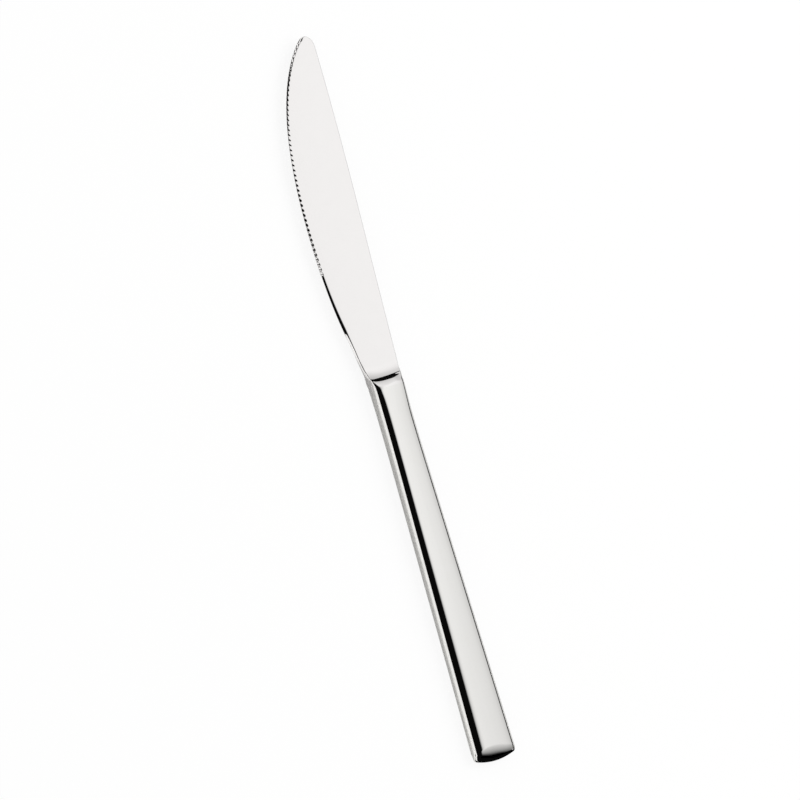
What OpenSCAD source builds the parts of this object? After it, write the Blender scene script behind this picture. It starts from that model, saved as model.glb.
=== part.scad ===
/* [Handle] */
// Length of the handle, from the shoulder to the butt
handle_l = 122.5; // [110:0.5:135]
// Width of the handle at the shoulder
neck_w = 10.5; // [9.8:0.1:11.6]
// Width of the handle at the butt
butt_w = 14.1; // [12.5:0.1:16]
// Thickness of the handle at the shoulder
neck_t = 6.7; // [6.2:0.1:7.4]
// Thickness of the handle where its butt starts to run down
butt_t = 5.6; // [5.2:0.1:6.2]
// Radius of the four long edges
edge_r = 2.2; // [1.8:0.1:2.4]
// Radius of the arched butt, seen from the front
butt_arc_r = 19; // [15:0.5:30]
// Radius of the butt's two corners, seen from the front
butt_corner_r = 1.2; // [0.8:0.1:2]
// Length of the butt's nose, seen from the side
nose_l = 5.3; // [4.5:0.1:7]
// Radius at the tip of the butt's nose, seen from the side
nose_r = 1.6; // [1.2:0.1:2]
// Wall of the two handle shells
wall = 0.8; // [0.6:0.05:1]
// Thickness of the brazed seam between the shells
seam_t = 0.1; // [0.06:0.02:0.16]

/* [Shoulder] */
// Radius of the bow that the shoulder makes across the knife
bow_r = 24; // [18:0.5:36]
// Length of the ground fillet between the blade and the shoulder
fillet_l = 4.2; // [3.5:0.1:5]
// Radius of the crest of the shoulder
crest_r = 0.45; // [0.3:0.05:0.6]
// Length over which the handle's faces fall to the shoulder on the cutting side
dub_l = 5.6; // [4.5:0.1:6.5]
// Radius of that fall
dub_r = 15.5; // [13:0.5:19]
// Angle by which the fall leans towards the cutting side
dub_lean = 4.5; // [3.5:0.1:5.5]
// Length of the bolster behind the shoulder
bolster_l = 3; // [2.5:0.1:5]

/* [Blade] */
// Length of the blade, from the shoulder to the tip
blade_l = 107.5; // [98:0.5:118]
// Distance of the cutting edge from the handle's axis, where the belly is lowest
belly_w = 11.2; // [10:0.1:12.5]
// Distance of the spine from the handle's axis, near the tip
spine_w = 8.6; // [7.8:0.1:9.4]
// Distance of the lowest point of the belly from the shoulder
belly_x = 49; // [44:0.5:54]
// Distance of the centre of the tip's round from the handle's axis
tip_w = 5.9; // [5:0.1:6.2]
// Radius of the tip's round
tip_r = 2.6; // [2.2:0.1:2.6]
// Thickness of the blade on the handle's axis at the shoulder
root_t = 2.3; // [2:0.1:3]
// Thickness of the blade on the handle's axis at the tip
tip_t = 0.6; // [0.5:0.1:1]
// Thickness of the blade at the lowest point of the belly
heel_t = 0.5; // [0.4:0.05:0.9]

/* [Serration] */
// Distance from one tooth to the next, along the edge
tooth_pitch = 1.57; // [1.3:0.01:2]
// Radius of the wheel that grinds the gaps between the teeth
gullet_r = 0.6; // [0.5:0.05:0.75]
// Distance that the gaps reach in from the cutting edge on the front face
gullet_l = 0.7; // [0.5:0.05:1]
// Thickness left at the bottom of each gap
gullet_t = 0.15; // [0.1:0.05:0.25]
// Depth of the notch that each gap makes in the edge's outline
notch_d = 0.15; // [0.05:0.05:0.25]
// Distance of the first tooth from the shoulder
serration_x = 35.8; // [30:0.5:45]

/* [Tang] */
// Length of the spigot that locates the shells
spigot_l = 4; // [3:0.5:6]
// Gap between the spigot and the shells
spigot_gap = 0.1; // [0.05:0.05:0.15]
// Length of the tang behind the spigot
tang_l = 62; // [45:1:80]
// Width of the tang at the spigot
tang_w = 5.4; // [4:0.1:6]
// Width of the tang at its end
tang_end_w = 3.2; // [2.5:0.1:4]
// Thickness of the tang
tang_t = 2.6; // [2:0.1:3]
// Length of the cement past the end of the tang
cement_past = 8; // [4:1:16]
// Gap between the set cement and the shells
cement_gap = 0.05; // [0.02:0.01:0.1]

/* [Hidden] */
$fn = 96;
steel = [0.80, 0.80, 0.79];
braze = [0.72, 0.70, 0.64];
cement = [0.55, 0.52, 0.47];
// Overrun of every cut past the faces that it crosses
over = 1;
// Number of steps in a curve that is drawn as points
steps = 14;
// Fineness of the long, flat arcs
long_arc = 360;

// Everything is drawn round the knife's middle plane, with the shoulder at x = 0, the tip towards +x,
// the front towards +z, the cutting edge towards -y and the spine towards +y. Laying the knife down
// swaps the last two, so the finished knife has its cutting edge towards +y.
straight_l = handle_l - nose_l;
flare = atan((butt_w - neck_w) / 2 / handle_l);
fall = atan((neck_t - butt_t) / 2 / straight_l);
function half_w(x) = neck_w / 2 - x * tan(flare);
function half_t(x) = neck_t / 2 + x * tan(fall);

// The blade's faces fall towards the tip and lean towards the cutting edge.
face_fall = atan((root_t - tip_t) / 2 / blade_l);
belly_axis_t = root_t - 2 * belly_x * tan(face_fall);
face_lean = atan((belly_axis_t - heel_t) / 2 / belly_w);
function blade_t(p) = root_t - 2 * p[0] * tan(face_fall) + 2 * p[1] * tan(face_lean);

// Height of the fallen face over the middle plane, at the spine end of the shoulder's crest
crest_h = half_t(-dub_l) + neck_w * tan(dub_lean) - pow(dub_l - crest_r, 2) / (2 * dub_r);
fillet_h = crest_h - crest_r - blade_t([0, neck_w / 2]) / 2;
bow_h = bow_r - sqrt(pow(bow_r, 2) - pow(neck_w / 2, 2));

// A point of a cubic curve and the direction of the curve there
function cubic(p, t) = pow(1 - t, 3) * p[0] + 3 * pow(1 - t, 2) * t * p[1]
    + 3 * (1 - t) * pow(t, 2) * p[2] + pow(t, 3) * p[3];
function cubic_way(p, t) = 3 * pow(1 - t, 2) * (p[1] - p[0]) + 6 * (1 - t) * t * (p[2] - p[1])
    + 3 * pow(t, 2) * (p[3] - p[2]);

// Place at which the rounds of the handle's long edges end, near the foot of the shoulder's fillet
rounds_end = fillet_l - over;
// The outline's guide points lie at these shares of the lengths that they follow.
heel_shares = [[0.33, 0.56], [0.69, 1]];
belly_shares = [[0.4, 1], [0.825, 0.53]];
spine_shares = [[0.3, 0.2], [0.62, 0.93]];
// Angle at which the edge meets the round of the tip
tip_turn = 46;
tip_c = [blade_l - tip_r, tip_w];
tip_start = tip_c + tip_r * [sin(tip_turn), -cos(tip_turn)];
tip_end = [tip_c[0], tip_w + tip_r];
heel_run = [
    [0, -neck_w / 2],
    [heel_shares[0][0] * belly_x, -neck_w / 2 - heel_shares[0][1] * (belly_w - neck_w / 2)],
    [heel_shares[1][0] * belly_x, -belly_w],
    [belly_x, -belly_w]
];
belly_run = [
    [belly_x, -belly_w],
    [belly_x + belly_shares[0][0] * (blade_l - belly_x), -belly_w],
    [belly_x + belly_shares[1][0] * (blade_l - belly_x), -belly_shares[1][1] * belly_w],
    tip_start
];
spine_run = [
    [0, neck_w / 2],
    [spine_shares[0][0] * blade_l, neck_w / 2 + spine_shares[0][1] * (spine_w - neck_w / 2)],
    [spine_shares[1][0] * blade_l, neck_w / 2 + spine_shares[1][1] * (spine_w - neck_w / 2)],
    tip_end
];

// Walks along a curve in steps of one pitch, from the share q on, and gives the shares it stops at.
function first_q(p, q = 0) = cubic(p, q)[0] >= serration_x ? q : first_q(p, q + 1 / 200);
function stops(p, q) = [for (s = q; s < 1; s = s + tooth_pitch / norm(cubic_way(p, s))) s];
heel_stops = stops(heel_run, first_q(heel_run));
last_step = belly_x - cubic(heel_run, heel_stops[len(heel_stops) - 1])[0];
belly_stops = stops(belly_run, (tooth_pitch - last_step) / norm(cubic_way(belly_run, 0)));

// Lays the knife on its back face, with the middle of that face at the origin.
module lay_down() {
    rotate([0, -fall, 0])
        translate([handle_l / 2, 0, half_t(-handle_l / 2)])
            mirror([0, 1, 0])
                children();
}

module between(x_from, x_to) {
    reach = butt_w + belly_w;
    translate([x_from, -reach, -reach])
        cube([x_to - x_from, 2 * reach, 2 * reach]);
}

// Outline of the handle from the front, drawn in by the distance inset
module handle_plan(inset, x_front) {
    arc_c = butt_arc_r - handle_l;
    corner_r = butt_corner_r;
    corner_y = half_w(-handle_l) - corner_r;
    corner_x = arc_c - sqrt(pow(butt_arc_r - corner_r, 2) - pow(corner_y, 2));
    side_x = -handle_l - over;
    difference() {
        intersection() {
            polygon([
                [x_front, -half_w(x_front) + inset],
                [x_front, half_w(x_front) - inset],
                [side_x, half_w(side_x) - inset],
                [side_x, -half_w(side_x) + inset]
            ]);
            union() {
                translate([arc_c, 0])
                    circle(butt_arc_r - inset, $fn = long_arc);
                translate([arc_c, -butt_w])
                    square([x_front - arc_c + over, 2 * butt_w]);
            }
        }
        for (side = [-1, 1])
            difference() {
                polygon([
                    [corner_x, side * corner_y],
                    [corner_x - corner_r * sin(flare), side * (corner_y + corner_r)],
                    [corner_x - corner_r * sin(flare), side * (corner_y + corner_r + over)],
                    [side_x, side * (corner_y + corner_r + over)],
                    [side_x, side * corner_y * (side_x - arc_c) / (corner_x - arc_c)]
                ]);
                translate([corner_x, side * corner_y])
                    circle(corner_r - inset);
            }
    }
}

// Outline of the handle from the side: two faces that draw together and a nose of three arcs
module handle_side(inset, x_front) {
    nose_h = half_t(-straight_l) - inset;
    tip = nose_r - inset;
    reach = nose_l - inset;
    arc_r = (pow(reach, 2) + pow(nose_h, 2) - 2 * reach * tip) / (2 * (nose_h - tip));
    touch_x = (reach - tip) * arc_r / (arc_r - tip);
    union() {
        polygon([
            [x_front, -half_t(x_front) + inset],
            [x_front, half_t(x_front) - inset],
            [-straight_l, nose_h],
            [-straight_l, -nose_h]
        ]);
        intersection() {
            translate([-straight_l, nose_h - arc_r])
                circle(arc_r, $fn = long_arc);
            translate([-straight_l, arc_r - nose_h])
                circle(arc_r, $fn = long_arc);
            translate([-straight_l - touch_x, -nose_h])
                square([touch_x, 2 * nose_h]);
        }
        translate([-straight_l - reach + tip, 0])
            circle(tip);
    }
}

// Section of the tool that rounds a corner at the origin, with the metal below and left of it
module corner_tool(r) {
    difference() {
        translate([-r, -r])
            square(r + over);
        translate([-r, -r])
            circle(r);
    }
}

// Tools that round the four long edges, as far as the foot of the shoulder's fillet
module edge_tools(inset) {
    for (face = [0, 1], side = [0, 1])
        mirror([0, 0, face])
            mirror([0, side, 0])
                translate([0, half_w(0) - inset, half_t(0) - inset])
                    rotate([0, -fall, -flare])
                        translate([-handle_l - over, 0, 0])
                            rotate([90, 0, 90])
                                linear_extrude(handle_l + over + rounds_end)
                                    corner_tool(edge_r - inset);
}

// What polishing takes off both faces of the handle before the shoulder
module dub() {
    for (face = [0, 1])
        mirror([0, 0, face])
            translate([-dub_l, -half_w(-dub_l), half_t(-dub_l)])
                rotate([dub_lean, 0, 0])
                    difference() {
                        translate([0, -over, -neck_t / 2])
                            cube([dub_l + bow_h + crest_r, neck_w + 2 * over, neck_t]);
                        translate([0, -2 * over, -dub_r])
                            rotate([-90, 0, 0])
                                cylinder(r = dub_r, h = neck_w + 4 * over, $fn = long_arc);
                    }
}

// The handle's outer form, or the same form drawn in by the distance inset
module handle_form(inset, x_front) {
    difference() {
        intersection() {
            translate([0, 0, -neck_t])
                linear_extrude(2 * neck_t)
                    handle_plan(inset, x_front);
            translate([0, butt_w, 0])
                rotate([90, 0, 0])
                    linear_extrude(2 * butt_w)
                        handle_side(inset, x_front);
        }
        edge_tools(inset);
    }
}

// Outline of the forging from the front: the blade with its bolster
module blade_plan() {
    tip_arc = [
        for (i = [1:steps - 1])
        tip_c + tip_r * [
            sin(tip_turn + (180 - tip_turn) * i / steps),
            -cos(tip_turn + (180 - tip_turn) * i / steps)
        ]
    ];
    polygon(concat(
        [[-bolster_l, -half_w(-bolster_l)]],
        [for (i = [0:steps - 1]) cubic(heel_run, i / steps)],
        [for (i = [0:steps]) cubic(belly_run, i / steps)],
        tip_arc,
        [for (i = [0:steps]) cubic(spine_run, 1 - i / steps)],
        [[-bolster_l, half_w(-bolster_l)]]
    ));
}

// Section of the wheel that grinds a blade face, with its fillet and the shoulder's crest
module wheel_section() {
    flat = bow_r - fillet_l;
    fillet = [
        for (i = [0:steps])
        [flat + fillet_l * sin(90 * i / steps), fillet_h * (1 - cos(90 * i / steps))]
    ];
    crest = [
        for (i = [1:steps])
        [bow_r + crest_r * (1 - cos(90 * i / steps)), fillet_h + crest_r * sin(90 * i / steps)]
    ];
    polygon(concat(
        [[0, 0]],
        fillet,
        crest,
        [[bow_r + crest_r, neck_t], [0, neck_t]]
    ));
}

// Everything that grinding takes off the front of the blade
module front_grind() {
    translate([0, 0, root_t / 2])
        rotate([face_lean, face_fall, 0]) {
            translate([bow_r, 0, 0])
                rotate_extrude($fn = long_arc)
                    wheel_section();
            translate([bow_r / 2, -2 * belly_w, 0])
                cube([blade_l, 4 * belly_w, neck_t]);
            translate([0, -2 * belly_w, 0])
                cube([bow_r, 2 * belly_w - half_w(fillet_l), neck_t]);
        }
}

// Cuts one gap between two teeth, a groove that slants through the front face
module gullet(p, q) {
    foot = cubic(p, q);
    way = cubic_way(p, q);
    slant = atan((blade_t(foot) - gullet_t) / gullet_l);
    translate([foot[0], foot[1], gullet_t - blade_t(foot) / 2])
        rotate([0, 0, atan2(way[1], way[0])])
            translate([0, notch_d, 0])
                rotate([slant - 90, 0, 0])
                    translate([0, -gullet_r, -gullet_l - over])
                        cylinder(r = gullet_r, h = 2 * gullet_l + 4 * over, $fn = 24);
}

module gullets() {
    for (q = heel_stops)
        gullet(heel_run, q);
    for (q = belly_stops)
        gullet(belly_run, q);
}

module tang() {
    start = -bolster_l - spigot_l;
    translate([0, 0, -tang_t / 2])
        linear_extrude(tang_t)
            union() {
                polygon([
                    [start, -tang_w / 2],
                    [start, tang_w / 2],
                    [start - tang_l, tang_end_w / 2],
                    [start - tang_l, -tang_end_w / 2]
                ]);
                translate([start - tang_l, 0])
                    circle(tang_end_w / 2);
            }
}

// The forging: blade, shoulder, bolster, spigot and tang
module blade() {
    color(steel)
        lay_down() {
            difference() {
                intersection() {
                    translate([0, 0, -neck_t])
                        linear_extrude(2 * neck_t)
                            blade_plan();
                    translate([0, 2 * belly_w, 0])
                        rotate([90, 0, 0])
                            linear_extrude(4 * belly_w)
                                handle_side(0, blade_l + over);
                }
                edge_tools(0);
                dub();
                front_grind();
                mirror([0, 0, 1])
                    front_grind();
                gullets();
            }
            intersection() {
                handle_form(wall + spigot_gap, 0);
                between(-bolster_l - spigot_l, -bolster_l);
            }
            tang();
        }
}

// One half of the hollow handle
module shell() {
    difference() {
        intersection() {
            handle_form(0, over);
            between(-handle_l - over, -bolster_l);
            translate([-handle_l - over, -butt_w, seam_t / 2])
                cube([handle_l + 2 * over, 2 * butt_w, neck_t]);
        }
        handle_form(wall, over);
        dub();
    }
}

module front_shell() {
    color(steel)
        lay_down()
            shell();
}

module back_shell() {
    color(steel)
        lay_down()
            mirror([0, 0, 1])
                shell();
}

module seam_braze() {
    color(braze)
        lay_down()
            difference() {
                intersection() {
                    handle_form(0, over);
                    between(-handle_l - over, -bolster_l);
                    translate([-handle_l - over, -butt_w, -seam_t / 2])
                        cube([handle_l + 2 * over, 2 * butt_w, seam_t]);
                }
                handle_form(wall, over);
            }
}

module handle_cement() {
    color(cement)
        lay_down()
            difference() {
                intersection() {
                    handle_form(wall + cement_gap, 0);
                    between(-bolster_l - spigot_l - tang_l - cement_past, -bolster_l - spigot_l);
                }
                tang();
            }
}

blade();
front_shell();
back_shell();
seam_braze();
handle_cement();
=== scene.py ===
# %% [markdown]
# # A polished table knife
#
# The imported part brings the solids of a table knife: a blade forged in one with its shoulder, two
# pressed handle shells, the braze of their seam and the cement inside. This notebook dresses it as
# mirror-polished stainless steel. A mirror shows every facet, so the visible pieces are drawn again
# as fine grids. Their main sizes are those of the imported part. The handle's flare, corners, grooves,
# the guide points of the outline and small steps have values of their own here, matched to the
# photograph. A mirror also shows its surroundings, so these are set out on purpose: one bright
# window, a few black cards and a pale floor.

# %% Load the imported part
import math

import bpy
import numpy as np
from mathutils import Matrix, Vector


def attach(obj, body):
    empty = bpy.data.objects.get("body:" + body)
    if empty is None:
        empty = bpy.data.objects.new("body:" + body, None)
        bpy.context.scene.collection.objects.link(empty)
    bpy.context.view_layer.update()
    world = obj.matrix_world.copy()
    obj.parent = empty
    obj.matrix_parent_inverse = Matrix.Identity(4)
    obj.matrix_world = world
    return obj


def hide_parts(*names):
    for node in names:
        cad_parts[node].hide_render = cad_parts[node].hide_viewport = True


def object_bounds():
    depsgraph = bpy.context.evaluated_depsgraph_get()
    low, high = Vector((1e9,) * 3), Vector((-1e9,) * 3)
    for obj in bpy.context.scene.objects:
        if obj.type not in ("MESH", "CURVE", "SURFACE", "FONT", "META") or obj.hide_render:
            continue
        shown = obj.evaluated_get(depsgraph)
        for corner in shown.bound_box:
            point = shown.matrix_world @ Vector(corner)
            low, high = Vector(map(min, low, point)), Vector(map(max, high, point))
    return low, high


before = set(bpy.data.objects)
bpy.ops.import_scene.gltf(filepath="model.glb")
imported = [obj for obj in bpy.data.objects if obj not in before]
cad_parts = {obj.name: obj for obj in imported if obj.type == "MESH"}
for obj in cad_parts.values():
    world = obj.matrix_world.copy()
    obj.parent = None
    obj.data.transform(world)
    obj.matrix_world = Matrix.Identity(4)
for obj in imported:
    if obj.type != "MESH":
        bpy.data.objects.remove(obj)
start_bounds = [list(corner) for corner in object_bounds()]
packed_size = [round((high - low) * 1000, 2) for low, high in zip(*start_bounds)]
print("nodes:", sorted(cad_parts))
print("size of the packed part in mm:", packed_size)

# %% [markdown]
# ## Width and thickness of the handle
#
# Lengths are in millimetres. The drawing has the shoulder at x = 0, the tip towards +x, the cutting
# edge towards -y and the knife's middle plane at z = 0, because a knife is easiest to describe from
# its shoulder. The handle is a straight neck that slowly flares towards the butt, and it gets
# thinner on the way. A formula gives its width at any x. A list of points would do too, but its
# kinks would show in the mirror.

# %% Width and thickness of the handle
HANDLE_L = 122.5  # from the shoulder to the butt
NECK_HALF = 5.25  # half the width at the neck
NECK_L = 19.0  # length of the straight neck
FLARE = 0.0185  # widening of each side per millimetre
FLARE_BLEND = 8.0  # length over which the flare sets in
NECK_T = 6.7  # thickness at the shoulder
BUTT_T = 5.6  # thickness where the nose of the butt begins
NOSE_L = 5.3  # length of that nose
STRAIGHT_L = HANDLE_L - NOSE_L
TAPER = (NECK_T - BUTT_T) / 2 / STRAIGHT_L


def smooth(t):
    """A step from 0 to 1 with level ends."""
    t = np.clip(t, 0, 1)
    return t * t * (3 - 2 * t)


def ramp(x, start, length):
    """A smooth step from 0 at the start to 1 where its length ends."""
    return smooth((x - start) / length)


def half_w(x):
    """Half the width of the handle at x."""
    run = -np.asarray(x, float) - NECK_L
    return NECK_HALF + FLARE * (run + np.sqrt(run ** 2 + FLARE_BLEND ** 2)) / 2


def half_t(x):
    """Half the thickness of the handle at x."""
    return NECK_T / 2 + x * TAPER


print("width at the butt in mm:", round(2 * float(half_w(-HANDLE_L)), 2))

# %% [markdown]
# ## From the drawing to the part's frame
#
# The part's own frame lies on the handle's back face, in metres, with the cutting edge towards +y.
# One function turns drawing points into it. It also holds two small things that the outline shows:
# the handle's middle line drifts a little towards the spine, and the handle sits a tenth of a
# millimetre nearer to the cutting side than the blade.

# %% From the drawing to the part's frame
MM = 0.001
MID_X = -HANDLE_L / 2
AXIS_LEAN = 0.0028  # drift of the middle line towards the spine, per millimetre
SIDE_SHIFT = 0.1
SHIFT_FADES_X = -10.0
SHIFT_FADES_L = 16.0


def to_frame(points):
    """Drawing points in millimetres become points of the part's frame in metres."""
    x, y, z = np.asarray(points, float).T
    lie = math.atan(TAPER)
    along = x - MID_X
    up = z + half_t(MID_X)
    y = y + AXIS_LEAN * np.clip(-x, 0, None)
    y = y - SIDE_SHIFT * (1 - ramp(x, SHIFT_FADES_X, SHIFT_FADES_L))
    return np.column_stack([
        along * math.cos(lie) - up * math.sin(lie),
        -y,
        along * math.sin(lie) + up * math.cos(lie),
    ]) * MM


print("the shoulder in the part's frame:", to_frame([(0, 0, 0)]).round(5).tolist())

# %% [markdown]
# ## The blade's outline
#
# The heel and the belly are two cubic curves that meet where the blade is widest, the spine is a
# third, and a round joins them at the tip. The round is stretched a little on the spine's side, as
# the real tip is. Cubic curves need only the few points that the shape has.

# %% Curves of the blade's outline
BLADE_L = 107.5  # from the shoulder to the tip
ROOT_HALF = 5.25  # half the width at the shoulder
BELLY_W = 11.2  # reach of the belly towards the cutting side
BELLY_X = 49.0
SPINE_W = 8.6  # reach of the spine's curve towards the other side
TIP_Y = 5.9
TIP_R = 2.6
TIP_STRETCH = 1.5
TIP_TURN = math.radians(46)  # where the edge leaves the round of the tip
REST_L = BLADE_L - BELLY_X


def cubic(points, t):
    """Points of a cubic curve at the shares t."""
    p = np.asarray(points, float)
    t = np.asarray(t, float)[:, None]
    return (1 - t) ** 3 * p[0] + 3 * (1 - t) ** 2 * t * p[1] + 3 * (1 - t) * t ** 2 * p[2] + t ** 3 * p[3]


tip_centre = np.array([BLADE_L - TIP_R, TIP_Y])
tip_start = tip_centre + TIP_R * np.array([math.sin(TIP_TURN), -math.cos(TIP_TURN)])
heel_curve = [
    (0, -ROOT_HALF),
    (0.33 * BELLY_X, -ROOT_HALF - 0.68 * (BELLY_W - ROOT_HALF)),
    (0.55 * BELLY_X, -BELLY_W),
    (BELLY_X, -BELLY_W),
]
belly_curve = [
    (BELLY_X, -BELLY_W),
    (BELLY_X + 0.48 * REST_L, -BELLY_W),
    (BELLY_X + 0.815 * REST_L, -0.53 * BELLY_W),
    tip_start,
]
spine_curve = [
    (0, ROOT_HALF),
    (0.3 * BLADE_L, ROOT_HALF + 0.27 * (SPINE_W - ROOT_HALF)),
    (0.62 * BLADE_L, ROOT_HALF + 0.97 * (SPINE_W - ROOT_HALF)),
    (BLADE_L - TIP_STRETCH * TIP_R, TIP_Y + TIP_R),
]
fine = np.linspace(0, 1, 801)
low_turn = np.linspace(TIP_TURN, math.pi / 2, 60)[1:]
high_turn = np.linspace(math.pi, math.pi / 2, 90)[1:]
low_round = np.column_stack([np.sin(low_turn), -np.cos(low_turn)])
high_round = np.column_stack([TIP_STRETCH * np.sin(high_turn) - TIP_STRETCH + 1, -np.cos(high_turn)])
edge_line = np.vstack([
    cubic(heel_curve, fine),
    cubic(belly_curve, fine)[1:],
    tip_centre + TIP_R * low_round,
])
spine_line = np.vstack([cubic(spine_curve, fine), tip_centre + TIP_R * high_round])
print("widest at x =", round(float(edge_line[np.argmin(edge_line[:, 1]), 0]), 1), "mm")

# %% [markdown]
# ## The outline from the butt to the tip
#
# Two functions give the cutting side and the spine's side at any x. Where the blade leaves the
# shoulder, the real heel steps out a little and the spine's side is drawn in a little. Both are
# soft steps that are added to the curves, so that the curves stay simple. Each step rises over one
# length and fades over another, and both are given as a start and a length.

# %% Outline from the butt to the tip
HEEL_STEP = 0.36  # how far the heel steps out
WAIST = 0.22  # how far the spine's side is drawn in


def edge_y(x):
    """The outline on the cutting side, with the heel's small step."""
    step = HEEL_STEP * ramp(x, -2.6, 4) * (1 - ramp(x, 3, 10))
    return np.where(x < 0, -half_w(x), np.interp(x, edge_line[:, 0], edge_line[:, 1])) - step


def spine_y(x):
    """The outline on the spine's side, drawn in a little at the shoulder."""
    waist = WAIST * ramp(x, -3, 3) * (1 - ramp(x, 1, 5))
    return np.where(x < 0, half_w(x), np.interp(x, spine_line[:, 0], spine_line[:, 1])) - waist


print("width of the blade at x = 10 in mm:", round(float(spine_y(10) - edge_y(10)), 2))

# %% [markdown]
# ## The rounded corner
#
# Polishing never leaves a true arc between two flats. The tilt of the surface dies away slowly past
# the arc, and the eye reads that as a soft edge of the dark band along the handle. A bevel modifier
# makes true arcs, so the corner is built from its tilt instead, summed up once for a radius of one.

# %% Profile of a polished corner
EASE = 0.26  # how slowly the tilt dies away
reach = 3 * np.linspace(0, 1, 3001) ** 2
lean = 1 - (reach[1:] + reach[:-1]) / 2
sine = (lean + np.sqrt(lean ** 2 + EASE ** 2)) / (1 + math.sqrt(1 + EASE ** 2))
steps = sine / np.sqrt(1 - np.clip(sine, 0, 1 - 1e-9) ** 2) * np.diff(reach)
corner_drop = np.concatenate([np.cumsum(steps[::-1])[::-1], [0]])


def corner(distance, radius):
    """How far a corner of this radius lies below the face, at a distance from the side."""
    return radius * np.interp(np.clip(distance, 0, None) / radius, reach, corner_drop)


print("depth of a corner of radius 1:", round(float(corner_drop[0]), 3))

# %% [markdown]
# ## Radius of the long corners
#
# Both long corners close to a thin line at the shoulder. On the cutting side this happens over a few
# millimetres, and the dark band in the corner tapers with it. On the spine's side it happens at the
# crest. Each radius is a formula in x, so the taper has no kink.

# %% Radius of the long corners
EDGE_R = 1.85
SPINE_R = 2.05
CLOSED_R = 0.15  # what is left of a radius where it has closed
OPENING_L = 2.9  # length over which the cutting side's corner opens
OPENING_POWER = 1.2  # over 1: the corner starts to open softly
BLADE_EDGE_R = 0.05  # what is left of the cutting side's corner along the blade
BLADE_FADE_L = 2.0
SPINE_CLOSES_X = -0.6
SPINE_CLOSES_L = 0.45
SPINE_NARROWS = 0.3  # share of the spine's radius that is lost before the crest


def edge_radius(x):
    """Radius of the corner on the cutting side."""
    opened = 1 - np.exp(-(np.clip(-x, 0, None) / OPENING_L) ** OPENING_POWER)
    fade = np.exp(-np.clip(x, 0, None) / BLADE_FADE_L)
    on_blade = BLADE_EDGE_R + (CLOSED_R - BLADE_EDGE_R) * fade
    return np.where(x < 0, CLOSED_R + (EDGE_R - CLOSED_R) * opened, on_blade)


def spine_radius(x):
    """Radius of the corner on the spine's side."""
    full = (SPINE_R - CLOSED_R) * (1 - SPINE_NARROWS * ramp(x, -14, 12))
    return CLOSED_R + full / (1 + np.exp((x - SPINE_CLOSES_X) / SPINE_CLOSES_L))


middle_radii = [round(float(radius(MID_X)), 2) for radius in (edge_radius, spine_radius)]
print("radii at the middle of the handle in mm:", middle_radii)

# %% [markdown]
# ## The faces of the blade
#
# The blade is a forged wedge: its two faces lean together towards the tip and towards the edge. Two
# slopes describe each face, found from the thickness at three places.

# %% Faces of the blade
ROOT_T = 2.3
TIP_T = 0.6
HEEL_T = 0.5  # thickness behind the bevel at the belly
FACE_FALL = (ROOT_T - TIP_T) / 2 / BLADE_L
FACE_LEAN = (ROOT_T - 2 * BELLY_X * FACE_FALL - HEEL_T) / 2 / BELLY_W


def face_z(x, y):
    """Height of the blade's front face over the middle plane."""
    return ROOT_T / 2 - x * FACE_FALL + y * FACE_LEAN


print("lean of each face in degrees:", round(math.degrees(math.atan(FACE_LEAN)), 2))

# %% [markdown]
# ## The crest of the shoulder
#
# The handle drops to the blade over a bowed crest and runs out in a long fillet. Its profile is given
# by its tilt in degrees at a few distances from the crest's middle line, because tilt is what a
# mirror shows. Where it passes 27 degrees, the steel no longer sees the window, and the black lens
# of the shoulder appears. Towards both ends of the crest the tilt is eased, so the lens is pointed.

# %% Crest of the shoulder
CREST_TILT = np.array([
    (-3.2, 17), (-1.3, 18), (-0.9, 20.5), (-0.6, 23), (-0.36, 27.5), (-0.1, 38), (0.12, 38), (0.4, 29),
    (1.2, 22.5), (1.8, 18.5), (2.6, 11), (3.7, 4), (4.6, 0),
])
CREST_X = -0.42  # the middle line, where it lies nearest to the butt
BOW_FROM_Y = -1.2  # where across the knife that is
BOW_SPINE = 0.009  # how strongly the line bows, per square millimetre
BOW_EDGE = 0.03
EASED_SPINE = 0.24  # height taken off the handle's side of the crest, towards the spine
EASED_EDGE = 0.06  # the same towards the cutting side
CREST_STEPS = 1561

crest_run = np.linspace(CREST_TILT[0, 0], CREST_TILT[-1, 0], CREST_STEPS)
crest_slope = np.tan(np.radians(np.interp(crest_run, CREST_TILT[:, 0], CREST_TILT[:, 1])))
crest_rise = np.cumsum(crest_slope[::-1])[::-1] * (crest_run[1] - crest_run[0])


def crest_x(y):
    """The middle line of the crest, bowed towards both sides."""
    to_spine = np.clip(y - BOW_FROM_Y, 0, None)
    to_edge = np.clip(BOW_FROM_Y - y, 0, None)
    return CREST_X + BOW_SPINE * to_spine ** 2 + BOW_EDGE * to_edge ** 2


def crest_z(x, y):
    """Height of the crest, its fillet and the blade's face."""
    past = x - crest_x(y)
    z = face_z(x, y) + np.interp(past, crest_run, crest_rise) + np.clip(crest_run[0] - past, 0, None)
    z = z - EASED_SPINE * ramp(y, 2, 2.4) * ramp(-past, -0.65, 1.2)
    return z - EASED_EDGE * ramp(-y, 1.5, 2.6) * ramp(-past, -2.4, 2)


print("rise of the crest in mm:", round(float(crest_rise[0]), 2))

# %% [markdown]
# ## The handle's face and its fall
#
# The handle's face is nearly flat. Buffing leaves a crown of a few hundredths of a millimetre, and
# up to two tenths along the cutting side near the butt, which a mirror shows as a slow change of
# tone. Just before the shoulder the face falls away in an arc, lowest on the cutting side. Handle
# face, fall and crest are kept as three surfaces, and the lowest of them counts at every point. One
# loft through sections would blur the crest.

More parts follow.
